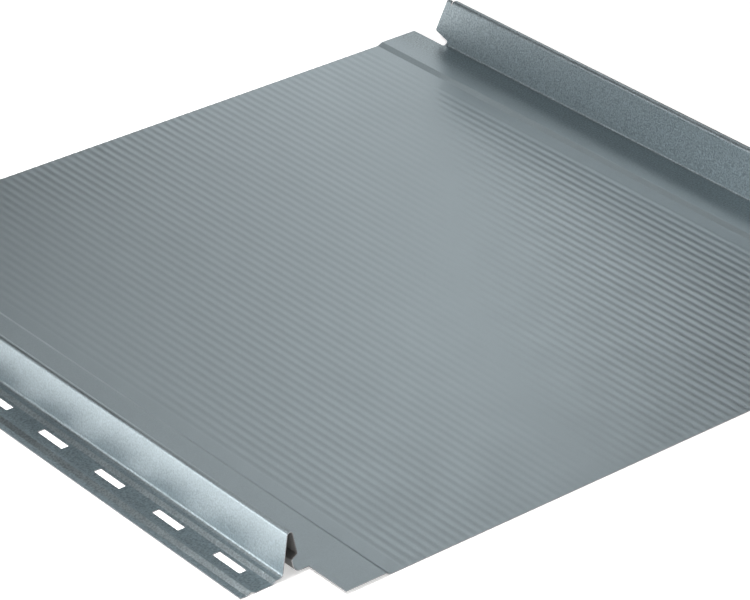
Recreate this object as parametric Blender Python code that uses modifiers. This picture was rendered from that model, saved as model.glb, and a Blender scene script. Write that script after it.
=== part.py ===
# Snap-lock roof panel: one sheet of coated steel, roll-formed along its length.
#
# The section is drawn across the panel as the middle line of the sheet, from the fastening flange at -X
# to the female lock at +X. It is pulled out along Y, thickened to the sheet, and then punched and notched.
# Lengths are in metres. Heights on the section are counted from the middle of the sheet in the margins.

import math

import bmesh
import bpy
from mathutils import Matrix, Vector

# The sheet and the panel
SHEET = 0.0005
PANEL_LENGTH = 0.4915
COVER_WIDTH = 0.475
SEAM_HEIGHT = 0.0312
BEND_RADIUS = 0.0008
ARC_STEP = math.radians(16)

# The pan: flat margins, a step down to the field, and shallow waves along it
MALE_MARGIN = 0.0355
FEMALE_MARGIN = 0.0298
STEP_DEPTH = 0.00165
MALE_STEP_RUN = 0.0028
FEMALE_STEP_RUN = 0.0038
WAVE_PITCH = 0.0059
WAVE_DEPTH = 0.00012
WAVE_PARTS = 8
FIELD_FLAT = 0.0084

# The male lock: a lower neck, the barb over it, and the ridge
MALE_FOOT_WIDTH = 0.0079
MALE_HEIGHT = 0.02545
NECK_HEIGHT = 0.00835
NECK_LEAN = math.radians(13.3)
BARB_REACH = 0.00365
BARB_SLOPE = math.radians(34.0)
BARB_LEAN = math.radians(11.8)
BARB_RADIUS = 0.0006
NECK_RADIUS = 0.0011
FOOT_RADIUS = 0.005
LEG_LEAN = math.radians(7.65)
RIDGE_RADIUS = 0.0018

# The fastening flange beside the male lock
SHOULDER_WIDTH = 0.0042
SHOULDER_RADIUS = 0.0026
FLANGE_SLOPE_RUN = 0.0025
SLOT_STRIP_WIDTH = 0.0112
BEAD_WIDTH = 0.0056
BEAD_INNER_RUN = 0.0023
BEAD_HEIGHT = 0.0014
BEAD_RADIUS = 0.0006
EDGE_STRIP_WIDTH = 0.004
EDGE_RISE = 0.0005

# The screw slots in the flange
SLOT_COUNT = 8
SLOT_PITCH = 0.05275
SLOT_LENGTH = 0.023
SLOT_WIDTH = 0.0048
SLOT_EDGE_GAP = 0.0019

# The female lock, whose web and hook take their place from the neighbour's male lock
LOCK_CLEARANCE = 0.0002
WEB_FOOT_RADIUS = 0.0015
CAP_WIDTH = 0.0041
CAP_RADIUS = 0.0024
LIP_LENGTH = 0.0031
HOOK_RADIUS = 0.0007

# The end cuts, which leave a tongue of plain pan at both ends
MALE_CUT_BACK = 0.0305
FEMALE_CUT_BACK = 0.0295
TONGUE_MALE_GAP = 0.0091
TONGUE_FEMALE_GAP = 0.0022
NOSE_NOTCH_DEPTH = 0.0017
NOSE_NOTCH_HEIGHT = 0.0031
NOSE_NOTCH_RADIUS = 0.0007
NOSE_KNEE_REACH = 0.0109
NOSE_KNEE_HEIGHT = 0.0066
NOSE_TIP_REACH = 0.0029
NOSE_TIP_HEIGHT = 0.03055
NOSE_RADIUS = 0.0014
NOSE_ROOM = 0.0011
CAP_CUT_BACK = 0.0025
SLIT_CUT_BACK = 0.0019
SLIT_WIDTH = 0.0009
SLIT_DEPTH = 0.003

# How far a cutter runs past what it cuts
CUTTER_MARGIN = 0.006

# A bend that reaches less than this is drawn as a plain corner. Neighbouring bends share the room.
LEAST_REACH = 1e-6
ROOM_SHARE = 0.97

PAINT_COLOUR = (0.165, 0.2, 0.215, 1.0)
PAINT_METALLIC = 0.6
PAINT_ROUGHNESS = 0.4


# Lines and outlines in the plane of the section

class Line:
    """A straight stretch of the section: a point on it, and the way that it runs."""

    def __init__(self, point, direction):
        self.point = Vector(point)
        self.direction = Vector(direction).normalized()

    def beside(self, distance):
        """The same line moved to its right-hand side."""
        right = Vector((self.direction.y, -self.direction.x))
        return Line(self.point + right * distance, self.direction)

    def moved(self, offset):
        return Line(self.point + offset, self.direction)

    def crossing(self, other):
        across = self.direction.cross(other.direction)
        reach = (other.point - self.point).cross(other.direction) / across
        return self.point + self.direction * reach


def level(height):
    return Line((0.0, height), (1.0, 0.0))


def leaning(point, lean):
    """A line that goes up and leans over towards +X."""
    return Line(point, (math.sin(lean), math.cos(lean)))


def rounded(corners):
    """The points of an outline whose corners, given as (place, radius), are turned into arcs."""
    places = [Vector(place) for place, radius in corners]
    turns = [0.0] * len(corners)
    reaches = [0.0] * len(corners)
    for i in range(1, len(corners) - 1):
        turns[i] = (places[i] - places[i - 1]).angle_signed(places[i + 1] - places[i])
        reaches[i] = corners[i][1] * math.tan(abs(turns[i]) / 2)
    points = [places[0]]
    for i in range(1, len(corners) - 1):
        before = (places[i] - places[i - 1]).length / max(reaches[i - 1] + reaches[i], LEAST_REACH)
        after = (places[i + 1] - places[i]).length / max(reaches[i] + reaches[i + 1], LEAST_REACH)
        reach = reaches[i] * min(1.0, ROOM_SHARE * before, ROOM_SHARE * after)
        points += arc(places[i - 1], places[i], turns[i], reach)
    return points + [places[-1]]


def arc(previous, corner, turn, reach):
    """Points round a corner, from the tangent point before it to the one after it."""
    if reach < LEAST_REACH:
        return [corner]
    heading = (corner - previous).normalized()
    side = Vector((-heading.y, heading.x)) * (-1.0 if turn > 0 else 1.0)
    radius = reach / math.tan(abs(turn) / 2)
    start = corner - heading * reach
    steps = max(2, math.ceil(abs(turn) / ARC_STEP))
    angles = [abs(turn) * k / steps for k in range(steps + 1)]
    return [start + heading * radius * math.sin(a) + side * radius * (1 - math.cos(a)) for a in angles]


# The section, with x = 0 at the foot of the male lock's neck

def male_lines():
    """The straight stretches of the male lock, in the order in which they are met from the pan."""
    neck = leaning((0.0, 0.0), -NECK_LEAN)
    throat = neck.crossing(level(NECK_HEIGHT))
    underside = Line(throat, (math.cos(BARB_SLOPE), math.sin(BARB_SLOPE)))
    tip = throat + Vector((1.0, math.tan(BARB_SLOPE))) * BARB_REACH
    inner_leg = leaning(tip, -BARB_LEAN)
    outer_leg = leaning((-MALE_FOOT_WIDTH, 0.0), LEG_LEAN)
    return neck, underside, inner_leg, outer_leg


def ridge_corners(inner_leg, outer_leg):
    """The round top of the male lock, as two corners whose arcs meet."""
    right = inner_leg.crossing(level(MALE_HEIGHT))
    left = outer_leg.crossing(level(MALE_HEIGHT))
    return [(left, RIDGE_RADIUS), (right, RIDGE_RADIUS)]


def flange_corners():
    """From the raw edge of the flange to the foot of the male lock's outer leg."""
    drop = -flange_drop()
    foot = -MALE_FOOT_WIDTH
    shoulder = foot - SHOULDER_WIDTH
    strip_in = shoulder - FLANGE_SLOPE_RUN
    strip_out = strip_in - SLOT_STRIP_WIDTH
    bead_top = strip_out - BEAD_INNER_RUN
    bead_out = strip_out - BEAD_WIDTH
    edge = bead_out - EDGE_STRIP_WIDTH
    return [
        ((edge, drop + EDGE_RISE), 0.0),
        ((bead_out, drop), BEND_RADIUS),
        ((bead_top, drop + BEAD_HEIGHT), BEAD_RADIUS),
        ((strip_out, drop), BEAD_RADIUS),
        ((strip_in, drop), BEND_RADIUS),
        ((shoulder, 0.0), BEND_RADIUS),
        ((foot, 0.0), SHOULDER_RADIUS),
    ]


def flange_drop():
    """The flange lies on the deck with the bottoms of the waves."""
    return STEP_DEPTH + WAVE_DEPTH / 2


def next_male_lines():
    """The neighbour's male lock. Its flange carries this panel's margin, so it lies a sheet lower."""
    offset = Vector((COVER_WIDTH, -SHEET))
    return [line.moved(offset) for line in male_lines()]


def web_line():
    """The web stands against the outer leg of the neighbour's male lock."""
    outer_leg = next_male_lines()[3]
    return outer_leg.beside(-lock_gap())


def web_foot():
    """Where the female lock leaves the pan."""
    return web_line().crossing(level(0.0)).x


def lock_gap():
    """From middle to middle of two sheets that lie against each other."""
    return SHEET + LOCK_CLEARANCE


def female_corners():
    """The web, the round cap over it, and the leg with the hook that snaps under the next barb."""
    underside, inner_leg = next_male_lines()[1:3]
    cap_start = web_line().crossing(level(cap_height()))
    lip = underside.beside(lock_gap())
    hook = inner_leg.beside(lock_gap()).crossing(lip)
    return [
        ((web_foot(), 0.0), WEB_FOOT_RADIUS),
        (cap_start, CAP_RADIUS),
        (cap_start + Vector((CAP_WIDTH, 0.0)), CAP_RADIUS),
        (hook, HOOK_RADIUS),
        (hook - lip.direction * LIP_LENGTH, 0.0),
    ]


def cap_height():
    """The seam's height is counted from the underside of the margin to the top of the cap."""
    return SEAM_HEIGHT - SHEET


def field_ends():
    """Where the lowered field starts and ends, between the two steps."""
    return MALE_MARGIN + MALE_STEP_RUN, web_foot() - FEMALE_MARGIN - FEMALE_STEP_RUN


def wave_points():
    """Whole waves at the wave's pitch, as many as fit after a short flat beside the step."""
    start, end = field_ends()
    waves = int((end - start - 2 * FIELD_FLAT) / WAVE_PITCH)
    first = start + FIELD_FLAT
    points = []
    for k in range(waves * WAVE_PARTS + 1):
        phase = 2 * math.pi * k / WAVE_PARTS
        height = -STEP_DEPTH - WAVE_DEPTH / 2 * math.sin(phase)
        points.append(Vector((first + WAVE_PITCH * k / WAVE_PARTS, height)))
    return points


def section_points():
    """The middle line of the sheet, from the flange's raw edge to the tip of the hook."""
    neck, underside, inner_leg, outer_leg = male_lines()
    start, end = field_ends()
    waves = wave_points()
    male_side = flange_corners() + ridge_corners(inner_leg, outer_leg) + [
        (inner_leg.crossing(underside), BARB_RADIUS),
        (underside.crossing(neck), NECK_RADIUS),
        ((0.0, 0.0), FOOT_RADIUS),
        ((MALE_MARGIN, 0.0), BEND_RADIUS),
        ((start, -STEP_DEPTH), BEND_RADIUS),
        (waves[0], 0.0),
    ]
    female_side = [
        (waves[-1], 0.0),
        ((end, -STEP_DEPTH), BEND_RADIUS),
        ((end + FEMALE_STEP_RUN, 0.0), BEND_RADIUS),
    ] + female_corners()
    return rounded(male_side) + waves[1:-1] + rounded(female_side)


# Solids

def sheet_object(name, collection):
    """The section pulled out along Y as an open surface, and thickened to the sheet."""
    form = bmesh.new()
    row = [form.verts.new((p.x, 0.0, p.y)) for p in section_points()]
    edges = [form.edges.new(pair) for pair in zip(row, row[1:])]
    pulled = bmesh.ops.extrude_edge_only(form, edges=edges)["geom"]
    far_row = [item for item in pulled if isinstance(item, bmesh.types.BMVert)]
    bmesh.ops.translate(form, verts=far_row, vec=(0.0, PANEL_LENGTH, 0.0))
    panel = new_object(name, form, collection)
    panel.data.shade_smooth()
    thickness = panel.modifiers.new("Sheet thickness", "SOLIDIFY")
    thickness.thickness = SHEET
    thickness.offset = 0.0
    thickness.use_even_offset = True
    return panel


def new_object(name, form, collection):
    mesh = bpy.data.meshes.new(name)
    form.to_mesh(mesh)
    form.free()
    made = bpy.data.objects.new(name, mesh)
    collection.objects.link(made)
    return made


def box(low, high):
    """A form holding one box, from its lowest to its highest corner."""
    form = bmesh.new()
    add_box(form, low, high)
    return form


def add_box(form, low, high):
    low = Vector(low)
    high = Vector(high)
    size = Matrix.Diagonal((high - low).to_4d())
    bmesh.ops.create_cube(form, size=1.0, matrix=Matrix.Translation((low + high) / 2) @ size)


def slab(points, thickness):
    """A form holding one outline that is filled and pushed out by a vector."""
    form = bmesh.new()
    face = form.faces.new([form.verts.new(point) for point in points])
    pushed = bmesh.ops.extrude_face_region(form, geom=[face])["geom"]
    moved = [item for item in pushed if isinstance(item, bmesh.types.BMVert)]
    bmesh.ops.translate(form, verts=moved, vec=thickness)
    bmesh.ops.recalc_face_normals(form, faces=form.faces)
    return form


def cut(panel, name, form, collection):
    """Takes a form away from the panel."""
    cutter = new_object(name, form, collection)
    cutter.hide_render = True
    cutter.display_type = "WIRE"
    cutter.parent = panel
    taking = panel.modifiers.new(name, "BOOLEAN")
    taking.operation = "DIFFERENCE"
    taking.solver = "EXACT"
    taking.object = cutter


# Cuts, each reaching past the sheet on the sides where it is open

def lowest():
    return -flange_drop() - CUTTER_MARGIN


def highest():
    return cap_height() + CUTTER_MARGIN


def leftmost():
    return flange_corners()[0][0][0] - CUTTER_MARGIN


def rightmost():
    hook = female_corners()[3][0]
    return hook.x + CUTTER_MARGIN


def slot_cuts():
    """A row of screw slots beside the shoulder of the flange, even about the panel's middle."""
    strip_in = flange_corners()[4][0][0]
    middle = strip_in - SLOT_EDGE_GAP - SLOT_WIDTH / 2
    form = bmesh.new()
    for k in range(SLOT_COUNT):
        y = PANEL_LENGTH / 2 + (k - (SLOT_COUNT - 1) / 2) * SLOT_PITCH
        low = (middle - SLOT_WIDTH / 2, y - SLOT_LENGTH / 2, lowest())
        high = (middle + SLOT_WIDTH / 2, y + SLOT_LENGTH / 2, CUTTER_MARGIN)
        add_box(form, low, high)
    return form


def male_end_cuts():
    """The male lock and its flange are cut back square at both ends."""
    form = bmesh.new()
    add_box(form, (leftmost(), -CUTTER_MARGIN, lowest()), (TONGUE_MALE_GAP, MALE_CUT_BACK, highest()))
    far_cut = PANEL_LENGTH - MALE_CUT_BACK
    far_edge = PANEL_LENGTH + CUTTER_MARGIN
    add_box(form, (leftmost(), far_cut, lowest()), (TONGUE_MALE_GAP, far_edge, highest()))
    return form


def female_near_cut():
    """The near end of the female lock is cut back square."""
    left = web_foot() - TONGUE_FEMALE_GAP
    return box((left, -CUTTER_MARGIN, lowest()), (rightmost(), FEMALE_CUT_BACK, highest()))


def female_far_cut():
    """At the far end the web keeps a nose, with a slit between it and the cap."""
    cut_line = PANEL_LENGTH - FEMALE_CUT_BACK
    cap_end = cut_line - CAP_CUT_BACK
    slit_end = cut_line - SLIT_CUT_BACK
    slit_start = slit_end + SLIT_WIDTH
    slit_bottom = NOSE_TIP_HEIGHT - SLIT_DEPTH
    beyond = PANEL_LENGTH + CUTTER_MARGIN
    outline = rounded([
        ((cut_line, lowest()), 0.0),
        ((cut_line, 0.0), 0.0),
        ((cut_line - NOSE_NOTCH_DEPTH, NOSE_NOTCH_HEIGHT), NOSE_NOTCH_RADIUS),
        ((cut_line + NOSE_KNEE_REACH, NOSE_KNEE_HEIGHT), NOSE_RADIUS),
        ((cut_line + NOSE_TIP_REACH, NOSE_TIP_HEIGHT), NOSE_RADIUS),
        ((slit_start, NOSE_TIP_HEIGHT), 0.0),
        ((slit_start, slit_bottom), 0.0),
        ((slit_end, slit_bottom), 0.0),
        ((slit_end, NOSE_TIP_HEIGHT), 0.0),
        ((cap_end, NOSE_TIP_HEIGHT), 0.0),
        ((cap_end, highest()), 0.0),
        ((beyond, highest()), 0.0),
        ((beyond, lowest()), 0.0),
    ])
    left = web_foot() - TONGUE_FEMALE_GAP
    return slab([(left, p.x, p.y) for p in outline], (rightmost() - left, 0.0, 0.0))


def cap_far_cut():
    """Behind the nose, whose tip curls over a little, the cap and the hook end short of the slit."""
    left = web_line().crossing(level(NOSE_TIP_HEIGHT)).x + NOSE_ROOM
    start = PANEL_LENGTH - FEMALE_CUT_BACK - CAP_CUT_BACK
    return box((left, start, lowest()), (rightmost(), PANEL_LENGTH + CUTTER_MARGIN, highest()))


# The finish, and the whole panel

def paint():
    material = bpy.data.materials.new("Grey-blue coated steel")
    material.use_nodes = True
    shader = material.node_tree.nodes["Principled BSDF"]
    shader.inputs["Base Color"].default_value = PAINT_COLOUR
    shader.inputs["Metallic"].default_value = PAINT_METALLIC
    shader.inputs["Roughness"].default_value = PAINT_ROUGHNESS
    return material


def set_on_floor(panel):
    """Moves the panel so that the middle of its underside is at the origin."""
    bpy.context.view_layer.update()
    shape = panel.evaluated_get(bpy.context.evaluated_depsgraph_get())
    points = [vertex.co for vertex in shape.data.vertices]
    low = Vector([min(p[axis] for p in points) for axis in range(3)])
    high = Vector([max(p[axis] for p in points) for axis in range(3)])
    panel.location = (-(low.x + high.x) / 2, -(low.y + high.y) / 2, -low.z)


def new_collection(name):
    collection = bpy.data.collections.new(name)
    bpy.context.scene.collection.children.link(collection)
    return collection


def build():
    for old in list(bpy.data.objects):
        bpy.data.objects.remove(old, do_unlink=True)
    parts = new_collection("Snap-lock roof panel")
    cutters = new_collection("Cutters")
    panel = sheet_object("roof_panel", parts)
    panel.data.materials.append(paint())
    cut(panel, "Screw slots", slot_cuts(), cutters)
    cut(panel, "Male lock ends", male_end_cuts(), cutters)
    cut(panel, "Female lock near end", female_near_cut(), cutters)
    cut(panel, "Female lock far end", female_far_cut(), cutters)
    cut(panel, "Cap far end", cap_far_cut(), cutters)
    set_on_floor(panel)


build()
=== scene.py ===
# %% [markdown]
# Snap-lock roof panel: a lesson in dressing one rolled sheet
#
# The object is a single sheet of coated steel. A roll-former bends a flat strip along its length into a
# standing-seam panel: a slotted fastening flange, a male lock, a wide pan with fine waves, and a female lock.
# The measured model could be coloured as it is, but its bends are coarse. So this notebook loads it, builds a
# finer skin of the same panel, and gives that its three surfaces: the grey-blue top coat, the primer on the
# back, painted dark as shade for the hollow of the male lock, and the bare steel of the cut edges.

# %% Load the measured panel
import math

import bmesh
import bpy
from mathutils import Matrix, Vector


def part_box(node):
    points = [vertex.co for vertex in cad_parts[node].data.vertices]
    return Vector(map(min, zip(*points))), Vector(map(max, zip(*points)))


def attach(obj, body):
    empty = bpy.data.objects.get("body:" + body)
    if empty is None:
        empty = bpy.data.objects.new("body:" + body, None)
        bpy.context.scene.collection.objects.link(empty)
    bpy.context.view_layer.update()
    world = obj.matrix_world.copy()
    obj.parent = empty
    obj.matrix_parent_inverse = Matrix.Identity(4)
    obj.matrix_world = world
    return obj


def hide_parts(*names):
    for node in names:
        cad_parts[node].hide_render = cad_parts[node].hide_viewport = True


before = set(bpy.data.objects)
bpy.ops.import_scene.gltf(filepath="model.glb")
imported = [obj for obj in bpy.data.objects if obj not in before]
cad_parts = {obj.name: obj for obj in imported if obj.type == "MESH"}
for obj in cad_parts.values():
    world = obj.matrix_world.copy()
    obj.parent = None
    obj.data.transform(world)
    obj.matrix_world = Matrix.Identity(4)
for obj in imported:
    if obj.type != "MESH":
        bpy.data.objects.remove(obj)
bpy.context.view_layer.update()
panel_low, panel_high = [Vector(corner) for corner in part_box("roof_panel")]
print("panel box in mm:", [round(size * 1000, 1) for size in panel_high - panel_low])

# %% [markdown]
# The camera
#
# The photo was taken with a long lens, about 180 mm on a full-frame sensor: the long edges hardly run
# together. The view looks 29 degrees down, across the panel from the corner of the male lock. A camera could
# be turned by eye, but the vanishing points of the straight edges give its three angles and its place, so
# those are used as they are.

# %% Place the camera
LENS_MM = 180.37
SENSOR_MM = 36.0
CAMERA_PLACE = Vector((-1.210519, -1.49115, 1.06821))
CAMERA_TILT = math.radians(60.6948)
CAMERA_ROLL = math.radians(-0.0847)
CAMERA_HEADING = math.radians(-39.2587)
VIEW_REACH = 50.0

camera_data = bpy.data.cameras.new("photo_camera")
camera_data.lens = LENS_MM
camera_data.sensor_width = SENSOR_MM
camera_data.clip_end = VIEW_REACH
camera = bpy.data.objects.new("photo_camera", camera_data)
turn = Matrix.Rotation(CAMERA_HEADING, 4, "Z") @ Matrix.Rotation(CAMERA_TILT, 4, "X")
turn = turn @ Matrix.Rotation(CAMERA_ROLL, 4, "Z")
camera.matrix_world = Matrix.Translation(CAMERA_PLACE) @ turn
bpy.context.scene.collection.objects.link(camera)
bpy.context.scene.camera = camera
print("camera looks along", [round(value, 3) for value in -camera.matrix_world.col[2].xyz])

# %% [markdown]
# How a bend is drawn
#
# Every fold of a roll-formed sheet is a straight stretch, a round bend and the next straight stretch. It
# could be drawn sharp and rounded with a Bevel modifier, but that would give all the folds one radius. So the
# section is written as the corners where the straight stretches would meet, each with a bend radius, and one
# helper turns those corners into arcs. The real bends are small, 1 to 2 mm, but they catch thin lines of
# light, so each arc gets a point every few degrees. Where two bends come close, both are made a little
# smaller, so that they never run into each other.

# %% Turn corners into round bends
BEND_STEP = math.radians(7.5)
SMALLEST_REACH = 1e-6
ARC_SHARE = 0.97


def bend_points(before, corner, turn_angle, reach):
    """Points round one bend, from where it leaves the first stretch to where it joins the next."""
    if reach < SMALLEST_REACH:
        return [corner]
    heading = (corner - before).normalized()
    side = Vector((-heading.y, heading.x)) * (-1.0 if turn_angle > 0 else 1.0)
    radius = reach / math.tan(abs(turn_angle) / 2)
    start = corner - heading * reach
    steps = max(2, math.ceil(abs(turn_angle) / BEND_STEP))
    angles = [abs(turn_angle) * k / steps for k in range(steps + 1)]
    return [start + heading * radius * math.sin(a) + side * radius * (1 - math.cos(a)) for a in angles]


def bent_line(corners):
    """A line through corners, given as (place, radius), with every inner corner rounded off."""
    places = [Vector(place) for place, _ in corners]
    turns, reaches = [0.0] * len(places), [0.0] * len(places)
    for i in range(1, len(places) - 1):
        turns[i] = (places[i] - places[i - 1]).angle_signed(places[i + 1] - places[i])
        reaches[i] = corners[i][1] * math.tan(abs(turns[i]) / 2)
    points = [places[0]]
    for i in range(1, len(places) - 1):
        before = (places[i] - places[i - 1]).length / max(reaches[i - 1] + reaches[i], SMALLEST_REACH)
        after = (places[i + 1] - places[i]).length / max(reaches[i] + reaches[i + 1], SMALLEST_REACH)
        reach = reaches[i] * min(1.0, ARC_SHARE * before, ARC_SHARE * after)
        points += bend_points(places[i - 1], places[i], turns[i], reach)
    return points + [places[-1]]


right_angle = bent_line([((0.0, 0.0), 0.0), ((1.0, 0.0), 0.1), ((1.0, 1.0), 0.0)])
print("a right-angle bend gets", len(right_angle) - 2, "points")

# %% [markdown]
# Straight stretches that lie against each other
#
# The female lock is folded so that it lies over the male lock of the next panel. It could be measured on its
# own, but then the two would never quite fit. A small class for a straight line, which can be set beside
# another at a given gap and asked where it crosses a third, keeps the one folded to the other.

# %% Lines in the plane of the section
class Stretch:
    """A straight stretch of the section: a point on it and the way that it runs."""

    def __init__(self, point, heading):
        self.point = Vector(point)
        self.heading = Vector(heading).normalized()

    def beside(self, gap):
        """The stretch that lies a gap to the right of this one."""
        right = Vector((self.heading.y, -self.heading.x))
        return Stretch(self.point + right * gap, self.heading)

    def moved(self, offset):
        """The same stretch, carried along by an offset."""
        return Stretch(self.point + offset, self.heading)

    def crossing(self, other):
        """The place where this stretch, made longer, meets another."""
        across = self.heading.cross(other.heading)
        return self.point + self.heading * ((other.point - self.point).cross(other.heading) / across)


def level(height):
    """A stretch that runs level at a height."""
    return Stretch((0.0, height), (1.0, 0.0))


def leaning(point, lean):
    """A stretch that goes up and leans over towards +X."""
    return Stretch(point, (math.sin(lean), math.cos(lean)))


meeting = leaning((0.0, 0.0), math.radians(45)).crossing(level(1.0))
print("a 45 degree lean meets a height of 1 at x =", round(meeting.x, 3))

# %% [markdown]
# The male lock
#
# This is the ridge at the left of the photo. From the pan the sheet rises in a neck that leans outwards,
# turns back under a barb, and climbs to a round ridge before it comes down as a straight outer leg. The next
# panel's hook snaps under the barb. It could be traced as a list of points, but then no size could be changed
# without drawing it again. Here every stretch has its own lean, and the corners are where the stretches
# cross. Heights are counted from the middle of the sheet in the flat margin, and x = 0 is the neck's foot.

# %% Draw the male lock
MALE_FOOT_WIDTH = 0.0079
MALE_HEIGHT = 0.02545
NECK_HEIGHT = 0.00835
NECK_LEAN = math.radians(13.3)
BARB_REACH = 0.00365
BARB_SLOPE = math.radians(34.0)
BARB_LEAN = math.radians(11.8)
LEG_LEAN = math.radians(7.65)
BARB_RADIUS = 0.0006
NECK_RADIUS = 0.0011
NECK_FOOT_RADIUS = 0.005
RIDGE_RADIUS = 0.0018


def male_stretches():
    """The four straight stretches of the male lock, from the neck over the ridge to the outer leg."""
    neck = leaning((0.0, 0.0), -NECK_LEAN)
    throat = neck.crossing(level(NECK_HEIGHT))
    underside = Stretch(throat, (math.cos(BARB_SLOPE), math.sin(BARB_SLOPE)))
    barb_tip = throat + Vector((1.0, math.tan(BARB_SLOPE))) * BARB_REACH
    inner_leg = leaning(barb_tip, -BARB_LEAN)
    outer_leg = leaning((-MALE_FOOT_WIDTH, 0.0), LEG_LEAN)
    return neck, underside, inner_leg, outer_leg


neck, underside, inner_leg, outer_leg = male_stretches()
ridge_line = level(MALE_HEIGHT)
male_corners = [
    (outer_leg.crossing(ridge_line), RIDGE_RADIUS),
    (inner_leg.crossing(ridge_line), RIDGE_RADIUS),
    (inner_leg.crossing(underside), BARB_RADIUS),
    (underside.crossing(neck), NECK_RADIUS),
    ((0.0, 0.0), NECK_FOOT_RADIUS),
]
print("ridge width in mm:", round((male_corners[1][0].x - male_corners[0][0].x) * 1000, 2))

# %% [markdown]
# The fastening flange
#
# Outside the male lock the sheet runs out as a narrow flange that is screwed to the deck. It has a level
# shoulder, a slope down to the slotted strip, and a small bead that stiffens the raw edge. The bead could be
# a rod laid along the edge, but on the real panel it is one more fold of the same sheet, so it is three more
# corners of the section. The strip lies as low as the bottoms of the pan's waves, so that the whole panel
# lies on the deck.

# %% Draw the flange
BEND_RADIUS = 0.0008
STEP_DEPTH = 0.00165
WAVE_DEPTH = 0.00012
FLANGE_DROP = STEP_DEPTH + WAVE_DEPTH / 2
SHOULDER_WIDTH = 0.0042
SHOULDER_RADIUS = 0.0026
FLANGE_SLOPE_RUN = 0.0025
SLOT_STRIP_WIDTH = 0.0112
BEAD_WIDTH = 0.0056
BEAD_INNER_RUN = 0.0023
BEAD_HEIGHT = 0.0014
BEAD_RADIUS = 0.0006
EDGE_STRIP_WIDTH = 0.004
EDGE_RISE = 0.0005

leg_foot = -MALE_FOOT_WIDTH
shoulder_end = leg_foot - SHOULDER_WIDTH
strip_inner = shoulder_end - FLANGE_SLOPE_RUN
strip_outer = strip_inner - SLOT_STRIP_WIDTH
bead_outer = strip_outer - BEAD_WIDTH
raw_edge = bead_outer - EDGE_STRIP_WIDTH
flange_corners = [
    ((raw_edge, EDGE_RISE - FLANGE_DROP), 0.0),
    ((bead_outer, -FLANGE_DROP), BEND_RADIUS),
    ((strip_outer - BEAD_INNER_RUN, BEAD_HEIGHT - FLANGE_DROP), BEAD_RADIUS),
    ((strip_outer, -FLANGE_DROP), BEAD_RADIUS),
    ((strip_inner, -FLANGE_DROP), BEND_RADIUS),
    ((shoulder_end, 0.0), BEND_RADIUS),
    ((leg_foot, 0.0), SHOULDER_RADIUS),
]
print("flange width in mm:", round((leg_foot - raw_edge) * 1000, 1))

# %% [markdown]
# The female lock
#
# This is the upright web at the right of the photo, with a cap folded over its top and a hook inside. Only
# the web and the cap show, so the hook has to be worked out: the web lies beside the neighbour's outer leg,
# and the hook's lip beside the underside of its barb, with the thickness of the sheet and a little play
# between. A round cap joins the web to the leg that comes down inside. The margin rides on the neighbour's
# flange, one sheet higher.

# %% Fold the female lock to the male one
SHEET = 0.0005
COVER_WIDTH = 0.475
SEAM_HEIGHT = 0.0312
LOCK_CLEARANCE = 0.0002
LIP_LENGTH = 0.0031
HOOK_RADIUS = 0.0007
CAP_WIDTH = 0.0041
CAP_RADIUS = 0.0024
WEB_FOOT_RADIUS = 0.0015

lock_gap = SHEET + LOCK_CLEARANCE
neighbour = Vector((COVER_WIDTH, -SHEET))
web = outer_leg.moved(neighbour).beside(-lock_gap)
lip = underside.moved(neighbour).beside(lock_gap)
web_foot = web.crossing(level(0.0)).x
cap_start = web.crossing(level(SEAM_HEIGHT - SHEET))
hook_corner = inner_leg.moved(neighbour).beside(lock_gap).crossing(lip)
female_corners = [
    ((web_foot, 0.0), WEB_FOOT_RADIUS),
    (cap_start, CAP_RADIUS),
    (cap_start + Vector((CAP_WIDTH, 0.0)), CAP_RADIUS),
    (hook_corner, HOOK_RADIUS),
    (hook_corner - lip.heading * LIP_LENGTH, 0.0),
]
print("web foot at", round(web_foot * 1000, 2), "mm from the male lock's neck")

# %% [markdown]
# The pan and its waves
#
# Between the locks the sheet steps down a little and runs in fine waves, which keep a wide flat pan from
# buckling and hide it when it does. A texture could fake them, but they show on the cut ends and turn the
# light in the pan. So they are drawn: whole sine waves at the wave's pitch, as many as fit between two
# short flats.

# %% Draw the pan
MALE_MARGIN = 0.0355
FEMALE_MARGIN = 0.0298
MALE_STEP_RUN = 0.0028
FEMALE_STEP_RUN = 0.0038
FIELD_FLAT = 0.0084
WAVE_PITCH = 0.0059
WAVE_PARTS = 16

field_start = MALE_MARGIN + MALE_STEP_RUN
field_end = web_foot - FEMALE_MARGIN - FEMALE_STEP_RUN
wave_count = int((field_end - field_start - 2 * FIELD_FLAT) / WAVE_PITCH)
first_wave = field_start + FIELD_FLAT


def wave_point(k):
    """One point of the waves, counted from the male lock's side."""
    phase = 2 * math.pi * k / WAVE_PARTS
    height = -STEP_DEPTH - WAVE_DEPTH / 2 * math.sin(phase)
    return Vector((first_wave + WAVE_PITCH * k / WAVE_PARTS, height))


waves = [wave_point(k) for k in range(wave_count * WAVE_PARTS + 1)]
step_down = [
    ((MALE_MARGIN, 0.0), BEND_RADIUS),
    ((field_start, -STEP_DEPTH), BEND_RADIUS),
    (waves[0], 0.0),
]
step_up = [
    (waves[-1], 0.0),
    ((field_end, -STEP_DEPTH), BEND_RADIUS),
    ((field_end + FEMALE_STEP_RUN, 0.0), BEND_RADIUS),
]
male_side = bent_line(flange_corners + male_corners + step_down)
female_side = bent_line(step_up + female_corners)
section = male_side + waves[1:-1] + female_side
print(wave_count, "waves,", len(section), "points across the panel")

# %% [markdown]
# The three surfaces of the sheet
#
# Coil-coated steel has a decorative coat on its weather side, a thin primer on its back, and bare zinc and
# steel where it was cut. They could be three objects, but a sheet is one piece, so they are three materials
# on one mesh. Their finishes are mixed further down. Here they are only made, so that each tool can bring its
# own surface along.

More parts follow.
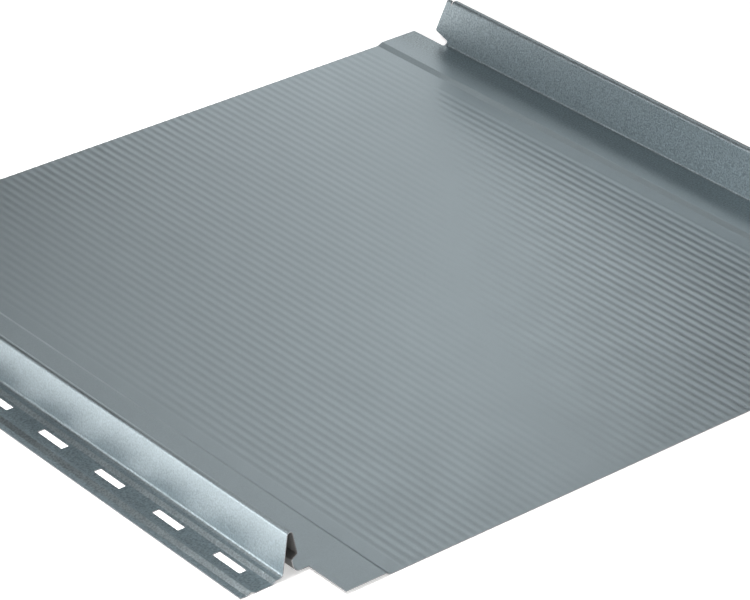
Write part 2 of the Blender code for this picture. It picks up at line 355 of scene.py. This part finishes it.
# %% Name the three surfaces
TOP_COAT, BACK_COAT, CUT_EDGE = range(3)
# The back coat is made dark as painted shade for the hollow of the male lock.
SURFACE_NAMES = ("grey_blue_top_coat", "shade_dark_back_coat", "cut_steel_edge")
surfaces = [bpy.data.materials.new(name) for name in SURFACE_NAMES]
for surface in surfaces:
    surface.use_nodes = True


def wear_surfaces(mesh):
    """Gives a mesh the three surfaces, in their order."""
    for surface in surfaces:
        mesh.materials.append(surface)


print("surfaces:", ", ".join(surface.name for surface in surfaces))

# %% [markdown]
# From a line to a sheet
#
# The section could be drawn as a closed outline, with the inside and the outside of every bend. It takes half
# of the points to pull its middle line out along the panel as an open surface, and to let a Solidify modifier
# make that a sheet of even thickness. Its material offsets give the back and the raw edges their own surfaces
# at no extra work. The side that faces up has to be the front, and Blender promises no order for new faces,
# so the side is told from all of them together and turned over where it has to be.

# %% Pull the section out and give it thickness
PANEL_LENGTH = 0.4915


def mesh_object(name, form):
    """Makes an object of a bmesh, in all three surfaces."""
    mesh = bpy.data.meshes.new(name)
    form.to_mesh(mesh)
    form.free()
    wear_surfaces(mesh)
    made = bpy.data.objects.new(name, mesh)
    bpy.context.scene.collection.objects.link(made)
    return made


form = bmesh.new()
row = [form.verts.new((point.x, 0.0, point.y)) for point in section]
edges = [form.edges.new(pair) for pair in zip(row, row[1:])]
pulled = bmesh.ops.extrude_edge_only(form, edges=edges)["geom"]
far_row = [item for item in pulled if isinstance(item, bmesh.types.BMVert)]
bmesh.ops.translate(form, verts=far_row, vec=(0.0, PANEL_LENGTH, 0.0))
form.normal_update()
facing_up = sum(face.normal.z * face.calc_area() for face in form.faces)
if facing_up < 0:
    bmesh.ops.reverse_faces(form, faces=form.faces)
blank = mesh_object("uncut_sheet", form)
gauge = blank.modifiers.new("gauge", "SOLIDIFY")
gauge.thickness = SHEET
gauge.offset = 0.0
gauge.use_even_offset = True
gauge.material_offset = BACK_COAT
gauge.material_offset_rim = CUT_EDGE
print("open surface of", len(blank.data.polygons), "strips")

# %% [markdown]
# Tools for cutting
#
# After rolling, a punch has made the screw slots, and both ends have been notched. The openings could be
# left free while the faces are laid, but that splits every stretch of the section. Each cut is a simple block
# or slab instead, taken away with a Boolean modifier. The tools wear the cut-edge surface, which the new
# faces take over, and they all reach a few millimetres past the sheet.

# %% Make blocks and take them away
TOOL_REACH = 0.006
tool_low = -FLANGE_DROP - TOOL_REACH
tool_high = SEAM_HEIGHT + TOOL_REACH
tool_left = raw_edge - TOOL_REACH
tool_right = hook_corner.x + TOOL_REACH
far_end = PANEL_LENGTH + TOOL_REACH
tools = []


def add_block(form, low, high):
    """Adds a block between two opposite corners."""
    low, high = Vector(low), Vector(high)
    size = Matrix.Diagonal((high - low).to_4d())
    bmesh.ops.create_cube(form, size=1.0, matrix=Matrix.Translation((low + high) / 2) @ size)


def take_away(name, form):
    """Makes a tool of a bmesh and takes it away from the sheet."""
    tool = mesh_object(name, form)
    tool.hide_render = True
    for face in tool.data.polygons:
        face.material_index = CUT_EDGE
    cut = blank.modifiers.new(name, "BOOLEAN")
    cut.operation = "DIFFERENCE"
    cut.solver = "EXACT"
    cut.object = tool
    tools.append(tool)


print("tools reach from", round(tool_low * 1000, 1), "to", round(tool_high * 1000, 1), "mm in height")

# %% [markdown]
# The screw slots
#
# The slots let the panel slide under its screws as it warms and cools. An Array modifier could repeat one of
# them, but a row is easier to place from its middle, so a loop sets them out from the middle of the panel.
# In the photo they have straight ends, so each is one plain block.

# %% Punch the screw slots
SLOT_COUNT = 8
SLOT_PITCH = 0.05275
SLOT_LENGTH = 0.023
SLOT_WIDTH = 0.0048
SLOT_EDGE_GAP = 0.0019

slot_middle = strip_inner - SLOT_EDGE_GAP - SLOT_WIDTH / 2
punches = bmesh.new()
for k in range(SLOT_COUNT):
    along = PANEL_LENGTH / 2 + (k - (SLOT_COUNT - 1) / 2) * SLOT_PITCH
    add_block(
        punches,
        (slot_middle - SLOT_WIDTH / 2, along - SLOT_LENGTH / 2, tool_low),
        (slot_middle + SLOT_WIDTH / 2, along + SLOT_LENGTH / 2, TOOL_REACH),
    )
take_away("slot_punches", punches)
print(SLOT_COUNT, "slots of", SLOT_LENGTH * 1000, "by", SLOT_WIDTH * 1000, "mm")

# %% [markdown]
# The tongues at both ends
#
# The locks and the flange are cut back at the ends, so that a tongue of plain pan is left to fold round the
# eaves and under the ridge. A shorter section could be drawn for the tongues, but on the real panel the same
# sheet runs through and the shears take the rest away. The blocks do the same here.

# %% Cut the male lock back at both ends
MALE_CUT_BACK = 0.0305
TONGUE_MALE_GAP = 0.0091

shears = bmesh.new()
for start, end in ((-TOOL_REACH, MALE_CUT_BACK), (PANEL_LENGTH - MALE_CUT_BACK, far_end)):
    add_block(shears, (tool_left, start, tool_low), (TONGUE_MALE_GAP, end, tool_high))
take_away("male_lock_shears", shears)
print("male lock is", round((PANEL_LENGTH - 2 * MALE_CUT_BACK) * 1000, 1), "mm long")

# %% Cut the female lock back at the near end
FEMALE_CUT_BACK = 0.0295
TONGUE_FEMALE_GAP = 0.0022

tongue_right = web_foot - TONGUE_FEMALE_GAP
shears = bmesh.new()
add_block(shears, (tongue_right, -TOOL_REACH, tool_low), (tool_right, FEMALE_CUT_BACK, tool_high))
take_away("female_lock_shears", shears)
print("tongue is", round((tongue_right - TONGUE_MALE_GAP) * 1000, 1), "mm wide")

# %% [markdown]
# The nose of the web
#
# At the far end the web isn't cut square. It keeps a nose: a sloped lower edge, a rounded knee, a front that
# leans back, and a rounded tip, with a thin slit that frees it from the cap. The nose could be a plate of its
# own, added to a shorter web, but then a seam would show in the coat. So the waste round the nose is one slab
# with that outline, pushed through from the side, and the cap and hook behind it are cut off square.

# %% Draw the waste round the nose
NOSE_NOTCH_DEPTH = 0.0017
NOSE_NOTCH_HEIGHT = 0.0031
NOSE_NOTCH_RADIUS = 0.0007
NOSE_KNEE_REACH = 0.0109
NOSE_KNEE_HEIGHT = 0.0066
NOSE_TIP_REACH = 0.0029
NOSE_TIP_HEIGHT = 0.03055
NOSE_RADIUS = 0.0014
NOSE_ROOM = 0.0011
CAP_CUT_BACK = 0.0025
SLIT_CUT_BACK = 0.0019
SLIT_WIDTH = 0.0009
SLIT_DEPTH = 0.003

cut_line = PANEL_LENGTH - FEMALE_CUT_BACK
cap_end = cut_line - CAP_CUT_BACK
slit_end = cut_line - SLIT_CUT_BACK
slit_start = slit_end + SLIT_WIDTH
slit_bottom = NOSE_TIP_HEIGHT - SLIT_DEPTH
waste = bent_line([
    ((cut_line, tool_low), 0.0),
    ((cut_line, 0.0), 0.0),
    ((cut_line - NOSE_NOTCH_DEPTH, NOSE_NOTCH_HEIGHT), NOSE_NOTCH_RADIUS),
    ((cut_line + NOSE_KNEE_REACH, NOSE_KNEE_HEIGHT), NOSE_RADIUS),
    ((cut_line + NOSE_TIP_REACH, NOSE_TIP_HEIGHT), NOSE_RADIUS),
    ((slit_start, NOSE_TIP_HEIGHT), 0.0),
    ((slit_start, slit_bottom), 0.0),
    ((slit_end, slit_bottom), 0.0),
    ((slit_end, NOSE_TIP_HEIGHT), 0.0),
    ((cap_end, NOSE_TIP_HEIGHT), 0.0),
    ((cap_end, tool_high), 0.0),
    ((far_end, tool_high), 0.0),
    ((far_end, tool_low), 0.0),
])
print("the nose reaches", round(NOSE_KNEE_REACH * 1000, 1), "mm past the cut")

# %% Notch the far end of the female lock
die = bmesh.new()
outline = die.faces.new([die.verts.new((tongue_right, point.x, point.y)) for point in waste])
pushed = bmesh.ops.extrude_face_region(die, geom=[outline])["geom"]
far_side = [item for item in pushed if isinstance(item, bmesh.types.BMVert)]
bmesh.ops.translate(die, verts=far_side, vec=(tool_right - tongue_right, 0.0, 0.0))
bmesh.ops.recalc_face_normals(die, faces=die.faces)
take_away("nose_die", die)

shears = bmesh.new()
behind_web = web.crossing(level(NOSE_TIP_HEIGHT)).x + NOSE_ROOM
add_block(shears, (behind_web, cap_end, tool_low), (tool_right, far_end, tool_high))
take_away("cap_shears", shears)
print(len(tools), "tools in all")

# %% [markdown]
# The finished skin
#
# The modifiers are now made real, the tools are put away, and the skin is laid where the measured panel lies,
# by matching the middles of their boxes. Flat shading would show every step of the bends, and smooth shading
# would smear the light of a bend over the flat beside it. So the skin is smooth, its cut edges are marked
# sharp, and a Weighted Normal modifier lets each large flat keep its own direction.

# %% Make the cuts real and lay the skin on the frame
CREASE_ANGLE = math.radians(35)
LARGEST_FACE_WINS = 100

bpy.context.view_layer.update()
graph = bpy.context.evaluated_depsgraph_get()
skin_mesh = bpy.data.meshes.new_from_object(blank.evaluated_get(graph))
for spent in [blank, *tools]:
    bpy.data.objects.remove(spent, do_unlink=True)

skin = bpy.data.objects.new("panel_skin", skin_mesh)
bpy.context.scene.collection.objects.link(skin)
corners = [vertex.co for vertex in skin_mesh.vertices]
skin_low = Vector([min(corner[axis] for corner in corners) for axis in range(3)])
skin_high = Vector([max(corner[axis] for corner in corners) for axis in range(3)])
shift = (panel_low + panel_high - skin_low - skin_high) / 2
skin_mesh.transform(Matrix.Translation(shift))
skin_mesh.shade_smooth()
skin_mesh.set_sharp_from_angle(angle=CREASE_ANGLE)
even = skin.modifiers.new("flats_keep_their_direction", "WEIGHTED_NORMAL")
even.keep_sharp = True
even.weight = LARGEST_FACE_WINS
print("skin in mm:", [round(size * 1000, 2) for size in skin_high - skin_low])
print("faces:", len(skin_mesh.polygons))

# %% [markdown]
# Mixing a finish
#
# A finish could be a picture laid over the sheet, but a picture repeats, and it carries the light of the day
# it was taken in. Here all three finishes are mixed from noise. The noise is placed by the object's own
# coordinates, so a feature has the same real size everywhere, and each size below is in metres. These helpers
# add the nodes that all three need.

# %% Helpers for mixing a finish
NOISE_LOW = 0.3
NOISE_HIGH = 0.7


def finish_of(surface):
    """The node tree of a surface and its shader."""
    tree = surface.node_tree
    return tree, tree.nodes["Principled BSDF"]


def feed(tree, socket, source):
    """Links a socket to another node's output, or sets it where the source is a plain value."""
    if isinstance(source, bpy.types.NodeSocket):
        tree.links.new(source, socket)
    else:
        socket.default_value = source


def grain(tree, size, detail=2.0):
    """Noise over the object, with features of about the given size in metres."""
    place = tree.nodes.new("ShaderNodeTexCoord")
    noise = tree.nodes.new("ShaderNodeTexNoise")
    feed(tree, noise.inputs["Vector"], place.outputs["Object"])
    feed(tree, noise.inputs["Scale"], 1.0 / size)
    feed(tree, noise.inputs["Detail"], detail)
    return noise.outputs["Fac"]


def spread(tree, value, low=0.0, high=1.0):
    """Stretches a noise value, which stays near 0.5, over a range."""
    stretch = tree.nodes.new("ShaderNodeMapRange")
    feed(tree, stretch.inputs["Value"], value)
    feed(tree, stretch.inputs["From Min"], NOISE_LOW)
    feed(tree, stretch.inputs["From Max"], NOISE_HIGH)
    feed(tree, stretch.inputs["To Min"], low)
    feed(tree, stretch.inputs["To Max"], high)
    return stretch.outputs["Result"]


def blend(tree, kind, amount, first, second):
    """Mixes two colours (RGBA) or two numbers (FLOAT) by an amount."""
    mix = tree.nodes.new("ShaderNodeMix")
    mix.data_type = kind
    feed(tree, mix.inputs["Factor"], amount)
    feed(tree, mix.inputs["A"], first)
    feed(tree, mix.inputs["B"], second)
    return mix.outputs["Result"]


def raised(tree, value, height):
    """A bump node whose highest point stands a given height, in metres, over its lowest."""
    bump = tree.nodes.new("ShaderNodeBump")
    feed(tree, bump.inputs["Strength"], 1.0)
    feed(tree, bump.inputs["Distance"], height)
    feed(tree, bump.inputs["Height"], value)
    return bump


print("noise from", NOISE_LOW, "to", NOISE_HIGH, "is spread over each range")

# %% [markdown]
# The top coat
#
# The weather side is a metallic polyester coat: fine flakes in a grey-blue binder over a slightly grained
# surface. It isn't the same all over. In the locks and the flange, where the sheet has been folded, the coat
# has a coarser grain, and the upright faces there look duller than the level ones. There, and on the flat
# margin beside the web, the colour is also a darker speckle: painted shade where the locks shade the sheet.
# Each part could have a material of its own, with a hard line between them. Two soft masks keep it one coat:
# one by the distance from the middle of the panel, and one by how upright a face is.

# %% Find the folded and shaded parts and the upright faces
FOLDS_AND_SHADE_START = 0.216
FOLDS_AND_SHADE_FULL = 0.236
UPRIGHT_START = 0.6
UPRIGHT_FULL = 0.25


def soft_mask(tree, vector, axis, start, full):
    """0 up to a start and 1 from a full value, by the size of a vector's part along an axis."""
    parts = tree.nodes.new("ShaderNodeSeparateXYZ")
    size = tree.nodes.new("ShaderNodeMath")
    size.operation = "ABSOLUTE"
    ramp = tree.nodes.new("ShaderNodeMapRange")
    ramp.interpolation_type = "SMOOTHSTEP"
    feed(tree, parts.inputs["Vector"], vector)
    feed(tree, size.inputs[0], parts.outputs[axis])
    feed(tree, ramp.inputs["Value"], size.outputs["Value"])
    feed(tree, ramp.inputs["From Min"], start)
    feed(tree, ramp.inputs["From Max"], full)
    return ramp.outputs["Result"]


tree, coat = finish_of(surfaces[TOP_COAT])
place = tree.nodes.new("ShaderNodeTexCoord")
shape = tree.nodes.new("ShaderNodeNewGeometry")
# Besides the folds, this mask covers the flat margin beside the web. The colour it brings in is painted shade
# where the locks shade the sheet.
folded_and_shaded = soft_mask(tree, place.outputs["Object"], "X", FOLDS_AND_SHADE_START, FOLDS_AND_SHADE_FULL)
upright = soft_mask(tree, shape.outputs["Normal"], "Z", UPRIGHT_START, UPRIGHT_FULL)
print("the coarser speckle starts", FOLDS_AND_SHADE_START * 1000, "mm from the middle of the panel")

# %% Mix the colour of the top coat
COAT_DARK = (0.372, 0.44, 0.472, 1.0)
COAT_LIGHT = (0.428, 0.504, 0.538, 1.0)
# The two speckle colours average darker than the coat: painted shade on and beside the locks.
SHADED_SPECKLE_DARK = (0.265, 0.312, 0.333, 1.0)
SHADED_SPECKLE_LIGHT = (0.445, 0.525, 0.56, 1.0)
FLAKE_SIZE = 0.0005
SPECKLE_SIZE = 0.0011
SPECKLE_DETAIL = 1.0

flakes = grain(tree, FLAKE_SIZE)
speckle = grain(tree, SPECKLE_SIZE, SPECKLE_DETAIL)
even_colour = blend(tree, "RGBA", spread(tree, flakes), COAT_DARK, COAT_LIGHT)
shaded_speckle_colour = blend(tree, "RGBA", spread(tree, speckle), SHADED_SPECKLE_DARK, SHADED_SPECKLE_LIGHT)
# Near the locks the coat turns to the darker speckle, which paints the shade there.
feed(tree, coat.inputs["Base Color"], blend(tree, "RGBA", folded_and_shaded, even_colour, shaded_speckle_colour))
feed(tree, coat.inputs["Metallic"], 1.0)
print("flakes of", FLAKE_SIZE * 1000, "mm, and speckle of", SPECKLE_SIZE * 1000, "mm on the folded parts")

# %% Set the shine of the top coat
COAT_ROUGHNESS = (0.28, 0.32)
UPRIGHT_ROUGHNESS = (0.36, 0.42)
PATCH_SIZE = 0.03

level_shine = spread(tree, grain(tree, PATCH_SIZE), *COAT_ROUGHNESS)
upright_shine = spread(tree, speckle, *UPRIGHT_ROUGHNESS)
feed(tree, coat.inputs["Roughness"], blend(tree, "FLOAT", upright, level_shine, upright_shine))
print("roughness from", COAT_ROUGHNESS[0], "to", UPRIGHT_ROUGHNESS[1])

# %% Raise the grain of the top coat
GRAIN_SIZE = 0.0003
GRAIN_HEIGHT = 0.00005
SPECKLE_HEIGHT = 0.00015

fine_grain = raised(tree, grain(tree, GRAIN_SIZE), GRAIN_HEIGHT)
coarse_grain = raised(tree, speckle, SPECKLE_HEIGHT)
feed(tree, coarse_grain.inputs["Strength"], folded_and_shaded)
feed(tree, coarse_grain.inputs["Normal"], fine_grain.outputs["Normal"])
feed(tree, coat.inputs["Normal"], coarse_grain.outputs["Normal"])
print(len(tree.nodes), "nodes in the top coat")

# %% [markdown]
# The back coat and the cut edges
#
# The back coat is a thin primer with hardly any shine. Its dark grey is painted shade: it keeps the hollow of
# the male lock dark where the glowing floor would light it from below. The cut edges show dull steel between
# two lines of zinc. A plain colour could do for both, as they are seen in small: the back in the hollow of
# the male lock, the edges as fine lines round the ends. But a close view of one even colour looks like
# plastic, so each gets a little cloud or a few shear marks.

# %% Mix the back coat, dark as painted shade
# These greys are darker than a primer: painted shade for the hollow of the male lock, which the glowing floor
# would light.
BACK_SHADE_DARK = (0.105, 0.105, 0.103, 1.0)
BACK_SHADE_LIGHT = (0.15, 0.149, 0.145, 1.0)
BACK_ROUGHNESS = (0.5, 0.62)
BACK_GRAIN_HEIGHT = 0.000025

tree, back = finish_of(surfaces[BACK_COAT])
cloud = spread(tree, grain(tree, PATCH_SIZE))
back_grain = raised(tree, grain(tree, GRAIN_SIZE), BACK_GRAIN_HEIGHT)
feed(tree, back.inputs["Base Color"], blend(tree, "RGBA", cloud, BACK_SHADE_DARK, BACK_SHADE_LIGHT))
feed(tree, back.inputs["Metallic"], 0.0)
feed(tree, back.inputs["Roughness"], spread(tree, grain(tree, FLAKE_SIZE), *BACK_ROUGHNESS))
feed(tree, back.inputs["Normal"], back_grain.outputs["Normal"])
print(len(tree.nodes), "nodes in the back coat")

# %% Mix the cut edge
EDGE_DARK = (0.16, 0.165, 0.17, 1.0)
EDGE_LIGHT = (0.3, 0.31, 0.32, 1.0)
EDGE_METAL = 0.9
EDGE_ROUGHNESS = (0.35, 0.5)
SHEAR_MARK_SIZE = 0.0004

tree, edge = finish_of(surfaces[CUT_EDGE])
marks = spread(tree, grain(tree, SHEAR_MARK_SIZE))
feed(tree, edge.inputs["Base Color"], blend(tree, "RGBA", marks, EDGE_DARK, EDGE_LIGHT))
feed(tree, edge.inputs["Metallic"], EDGE_METAL)
feed(tree, edge.inputs["Roughness"], spread(tree, grain(tree, FLAKE_SIZE), *EDGE_ROUGHNESS))
print(len(tree.nodes), "nodes in the cut edge")

# %% [markdown]
# Joining the frame
#
# The skin stands for the measured node, which stays behind for collision. A part with joints would be split
# into one skin for each body. This panel has no joint, so there is one body, and the skin rides on it.

# %% Put the skin on the measured panel
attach(skin, "root")
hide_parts("roof_panel")
print(skin.name, "stands for roof_panel and rides on root")

# %% [markdown]
# The floor
#
# The panel lies on a plain white floor. Lamps alone could light it, but then the floor would be dark inside
# the slots and under the raised edges, where no lamp reaches. So the floor also glows faintly by itself, like
# a light table. It is one large face, just under the panel.

# %% Lay the floor
FLOOR_SIZE = 12.0
FLOOR_GAP = 0.0002
FLOOR_WHITE = (0.94, 0.94, 0.94, 1.0)
FLOOR_ROUGHNESS = 0.8
FLOOR_GLOW = 0.5

form = bmesh.new()
bmesh.ops.create_grid(form, x_segments=1, y_segments=1, size=FLOOR_SIZE / 2)
floor_mesh = bpy.data.meshes.new("studio_floor")
form.to_mesh(floor_mesh)
form.free()
floor = bpy.data.objects.new("studio_floor", floor_mesh)
floor.location.z = panel_low.z - FLOOR_GAP
bpy.context.scene.collection.objects.link(floor)
print("floor of", FLOOR_SIZE, "m")

# %% Make the floor white and let it glow
white = bpy.data.materials.new("white_floor")
white.use_nodes = True
white.cycles.emission_sampling = "NONE"
tree, paint = finish_of(white)
feed(tree, paint.inputs["Base Color"], FLOOR_WHITE)
feed(tree, paint.inputs["Roughness"], FLOOR_ROUGHNESS)
feed(tree, paint.inputs["Emission Color"], FLOOR_WHITE)
feed(tree, paint.inputs["Emission Strength"], FLOOR_GLOW)
floor_mesh.materials.append(white)
print("floor glows with strength", FLOOR_GLOW)

# %% [markdown]
# The wall of light
#
# A metallic coat shows little of its own: it shows what it mirrors. One large lamp behind the panel would
# give the pan a pale band with no shape in it. So the pan mirrors a wall of small light panels, each on its
# own dimmer. The pan was rendered with each of them alone, and the dimmers were then balanced until the sum
# had the tones of the photo and the floor stayed white.

# %% A soft light that faces the pan
def soft_light(name, heading, rise, distance, width, height, watts):
    """A light seen from the pan at a heading (0 is +Y, 90 is +X) and an angle over the floor, in degrees."""
    data = bpy.data.lights.new(name, "AREA")
    data.shape = "RECTANGLE"
    data.size = width
    data.size_y = height
    data.energy = watts
    light = bpy.data.objects.new(name, data)
    heading, rise = math.radians(heading), math.radians(rise)
    way = Vector((math.sin(heading) * math.cos(rise), math.cos(heading) * math.cos(rise), math.sin(rise)))
    light.location = way * distance
    light.rotation_euler = way.to_track_quat("Z", "Y").to_euler()
    light.visible_camera = False
    bpy.context.scene.collection.objects.link(light)


# %% Hang the wall of light
WALL_DISTANCE = 1.3
WALL_PANEL_SIZE = 0.2
WALL_DIMMERS = {
    18: {36: 175},
    26: {12: 190, 36: 90},
    34: {12: 140, 20: 90, 28: 45, 46: 175},
    42: {12: 135, 20: 75, 28: 35, 36: 160},
    50: {12: 140, 28: 55, 36: 170},
    60: {36: 185},
}

for heading, column in WALL_DIMMERS.items():
    for rise, milliwatts in column.items():
        name = f"panel_{heading}_{rise}"
        watts = milliwatts / 1000
        soft_light(name, heading, rise, WALL_DISTANCE, WALL_PANEL_SIZE, WALL_PANEL_SIZE, watts)
print(sum(len(column) for column in WALL_DIMMERS.values()), "light panels in the wall")

# %% [markdown]
# Lamps round the panel
#
# The wall covers only the middle of what the pan mirrors, so larger lights at its left and above it carry
# on from there. The upright faces look away from the wall, and one lamp over the whole set would light them
# all alike. Instead, small lamps beside the flange give the male lock's outer leg its pale gradient and the
# slotted strip its sheen. The one over the flange is a touch warmer, or the leg would come out too blue. A
# fill from the front whitens the floor before the near edge, and the room itself is dark.

# %% Hang the lamps
WARM_WHITE = (1.0, 0.945, 0.92)
LAMPS = {
    "behind_left": dict(heading=-15, rise=22, distance=2.5, width=1.2, height=0.6, watts=4.1),
    "high_behind": dict(heading=0, rise=60, distance=1.6, width=0.5, height=0.5, watts=0.69),
    "over_flange": dict(heading=-110, rise=60, distance=0.8, width=0.3, height=0.3, watts=6.6),
    "low_by_flange": dict(heading=-90, rise=8, distance=0.7, width=0.6, height=0.15, watts=0.9),
    "low_by_flange_near": dict(heading=-125, rise=8, distance=0.7, width=0.6, height=0.15, watts=0.5),
    "front_fill": dict(heading=175, rise=50, distance=2.5, width=2.0, height=2.0, watts=14.0),
    "above_flange": dict(heading=-90, rise=50, distance=0.7, width=0.6, height=0.3, watts=0.55),
    "left_wall": dict(heading=-60, rise=20, distance=2.5, width=1.2, height=0.6, watts=6.5),
}

for name, settings in LAMPS.items():
    soft_light(name, **settings)
bpy.data.lights["over_flange"].color = WARM_WHITE
print(len(LAMPS), "lamps round the panel")

# %% Darken the room and keep the colours plain
room = bpy.data.worlds.new("dark_room")
room.use_nodes = True
room.node_tree.nodes["Background"].inputs["Strength"].default_value = 0.0
bpy.context.scene.world = room
bpy.context.scene.view_settings.view_transform = "Standard"
print("view transform:", bpy.context.scene.view_settings.view_transform)
